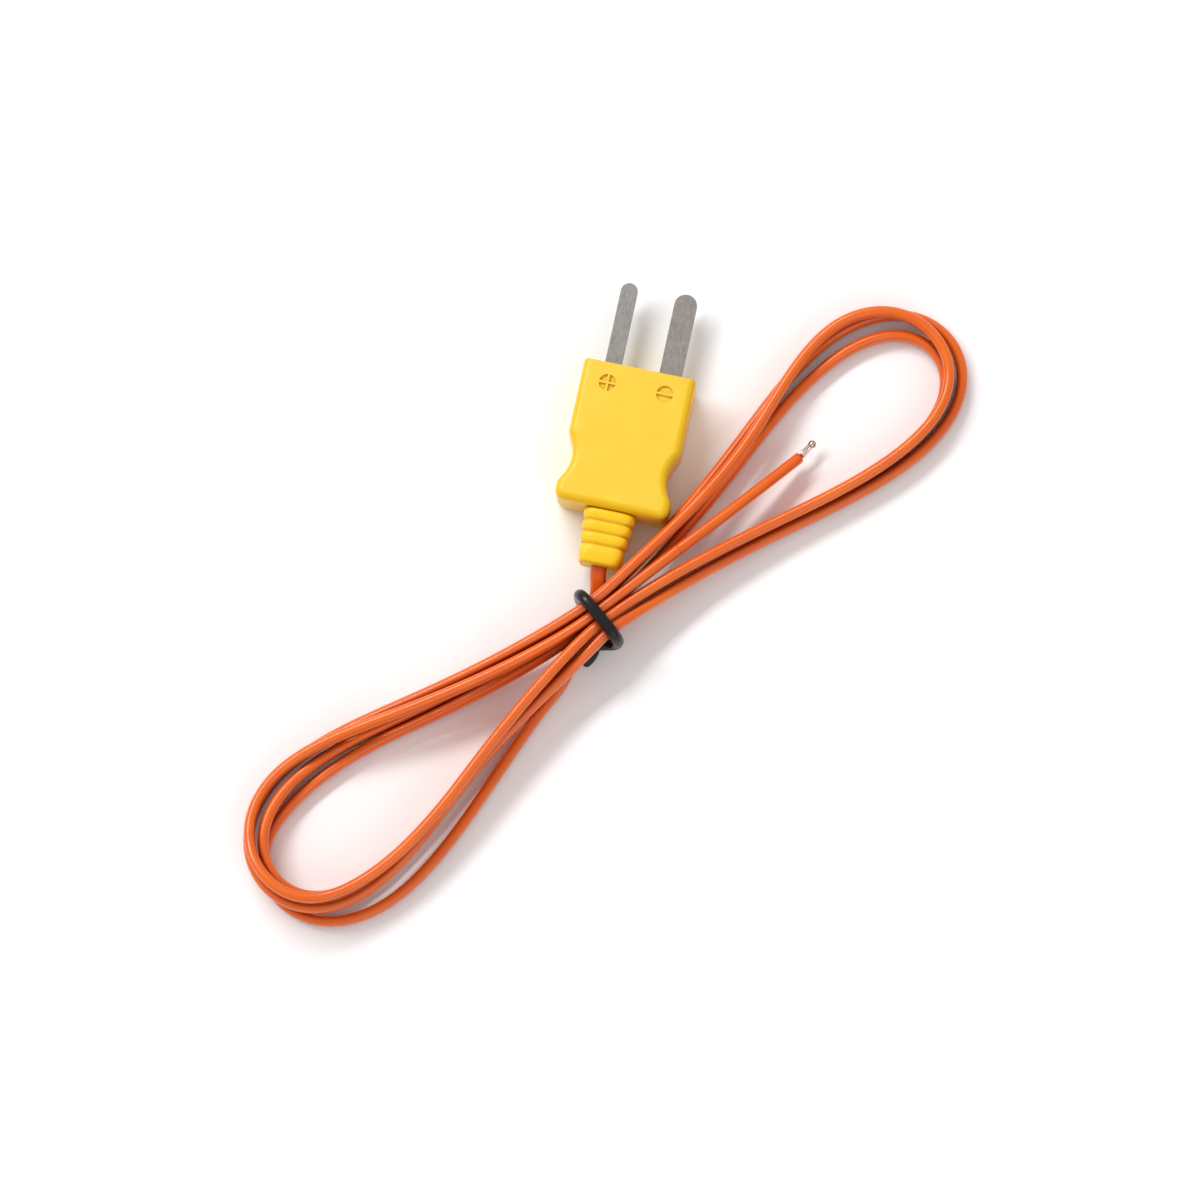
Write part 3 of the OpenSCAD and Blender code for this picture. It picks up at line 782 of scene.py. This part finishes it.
# Way along a bare wire, and its distance upwards and sideways from the middle: the pair turns side by side
BARE_WIRE_PATH = ((0, 0.39, 0.04), (0.3, 0.33, 0.24), (0.62, 0.14, 0.2), (1, 0, 0.17))


def make_measuring_end():
    end_rings = cable[-8:]
    last, side, up = (direction[-1] for direction in upright_frames(end_rings))
    heading = headings(end_rings)[-1]
    bead_low, bead_high = box_mm("measuring_bead")
    bead_centre = (bead_low + bead_high) / 2
    bead_r = (bead_high[0] - bead_low[0]) / 2
    for sign, word, finish in CORES:
        shift = sign * CORE_OFFSET * up
        path = np.array([last + y * heading + shift for y in (-CORES_IN, CORES_OUT)])
        core = sweep(f"tip_{word}_core_end", carried_frames(path), circle(CORE_D, 20), finish)
        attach(core, "tip")
        mouth = last + WIRE_START * heading
        reach = bead_centre - WIRE_IN_BEAD * bead_r * heading - mouth
        points = [
            mouth + way * reach + sign * (lift * up + apart * side)
            for way, lift, apart in BARE_WIRE_PATH
        ]
        path = curve(points, WIRE_STEPS)
        wire = sweep(f"tip_{word}_bare_wire", carried_frames(path), circle(BARE_WIRE_D, 20), wire_finish)
        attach(wire, "tip")
    make_bead(bead_centre, bead_r, heading)


BEAD_STRETCH = 1.25        # the half that faces the wires is this much longer
BEAD_NECK = 0.12           # and this much narrower at its end
LUMP_HEIGHT = 0.025        # of the uneven melt, as a share of the radius
LUMPS_AROUND, LUMP_TWIST = 3, 5


def make_bead(centre, r, heading):
    """A melted ball: round in front, drawn out a little towards the wires."""
    rings, n = 24, 32
    path, sections = [], []
    for k in range(rings):
        a = math.pi * (k + 0.5) / rings
        reach = -math.cos(a)
        stretch = BEAD_STRETCH if reach < 0 else 1
        path.append(centre + r * reach * stretch * heading)
        width = r * math.sin(a) * (1 - BEAD_NECK * max(0, -reach))
        around = LUMPS_AROUND * 2 * math.pi * np.arange(n) / n
        lumps = 1 + LUMP_HEIGHT * np.sin(around + LUMP_TWIST * a)
        sections.append(circle(2 * width, n) * lumps[:, None])
    bead = sweep("weld_bead", carried_frames(np.array(path)), sections, weld_finish)
    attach(bead, "tip")
    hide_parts("measuring_bead")


make_measuring_end()


# ---- Twist tie ----

TIE_D, TIE_CORE_D = 1.6, 0.6
TIE_SPACING, TIE_PASSES = 0.25, 8
TIE_ROUND = 0.5            # the ends are rounded over this length
TIE_END = 0.5              # down to this share of the diameter


def tie_share(from_end):
    """Share of the full diameter at this distance from the nearer end."""
    if from_end >= TIE_ROUND:
        return 1
    return max(TIE_END, math.sqrt(1 - (1 - from_end / TIE_ROUND) ** 2))


def make_tie():
    path = relaxed(evenly(to_part(curve(TIE, CURVE_STEPS)), TIE_SPACING), TIE_PASSES)
    last = len(path) - 1
    sections = [circle(TIE_D * tie_share(min(i, last - i) * TIE_SPACING), 28) for i in range(last + 1)]
    coating = sweep("tie_band", carried_frames(path), sections, tie_finish)
    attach(coating, "coil")
    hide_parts("tie_coating")
    core = sweep("tie_core", carried_frames(path), circle(TIE_CORE_D, 16), steel_finish)
    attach(core, "coil")
    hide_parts("tie_wire")


make_tie()


# ---- Floor, light and camera ----

def make_floor():
    half = 3000
    corners = [(x * half, y * half, table_z) for x, y in ((-1, -1), (1, -1), (1, 1), (-1, 1))]
    floor = new_object("floor", corners, [(0, 1, 2, 3)], floor_material(), smooth=False)


def area_light(name, place, target, size, power):
    """A soft box whose long side lies along the coil, so that every strand shows its highlight."""
    data = bpy.data.lights.new(name, "AREA")
    data.shape = "RECTANGLE"
    data.size, data.size_y = size
    data.energy = power
    place = Vector(place)
    back = (place - target).normalized()
    along = Vector((*ALONG, 0))
    side = (along - along.dot(back) * back).normalized()
    light = bpy.data.objects.new(name, data)
    rotation = Matrix((side, back.cross(side), back)).transposed().to_4x4()
    light.matrix_world = Matrix.Translation(place) @ rotation
    bpy.context.collection.objects.link(light)


def make_camera(target):
    """Looks almost straight down from a little towards +x and -y, and is turned in its plane."""
    tilt_right, tilt_back, turn = math.radians(3.5), math.radians(9.5), math.radians(12.3)
    distance, frame_width = 0.7, 0.1617
    across = Vector((math.cos(tilt_right), 0, -math.sin(tilt_right)))
    upward = Vector((0, math.cos(tilt_back), math.sin(tilt_back)))
    right = (math.cos(turn) * across + math.sin(turn) * upward).normalized()
    up = (math.cos(turn) * upward - math.sin(turn) * across).normalized()
    back = right.cross(up).normalized()
    up = back.cross(right)
    data = bpy.data.cameras.new("camera")
    data.sensor_width = 36
    data.lens = data.sensor_width * distance / frame_width
    data.clip_start = 0.01
    data.clip_end = 20
    camera = bpy.data.objects.new("camera", data)
    rotation = Matrix((right, up, back)).transposed().to_4x4()
    camera.matrix_world = Matrix.Translation(target + back * distance) @ rotation
    bpy.context.collection.objects.link(camera)
    bpy.context.scene.camera = camera


def make_world():
    """Even white light from all around."""
    world = bpy.data.worlds.new("studio")
    world.use_nodes = True
    background = world.node_tree.nodes["Background"]
    background.inputs["Color"].default_value = (1, 1, 1, 1)
    background.inputs["Strength"].default_value = 0.62
    bpy.context.scene.world = world


view_target = Vector((1.1, -31.6, 0)) * MM
make_floor()
make_world()
area_light("key", place=(-0.5, 0.38, 0.72), target=view_target, size=(0.8, 0.16), power=6.5)
area_light("fill", place=(0.5, -0.6, 0.6), target=view_target, size=(0.6, 0.6), power=1.4)
make_camera(view_target)
bpy.context.scene.view_settings.view_transform = "Standard"
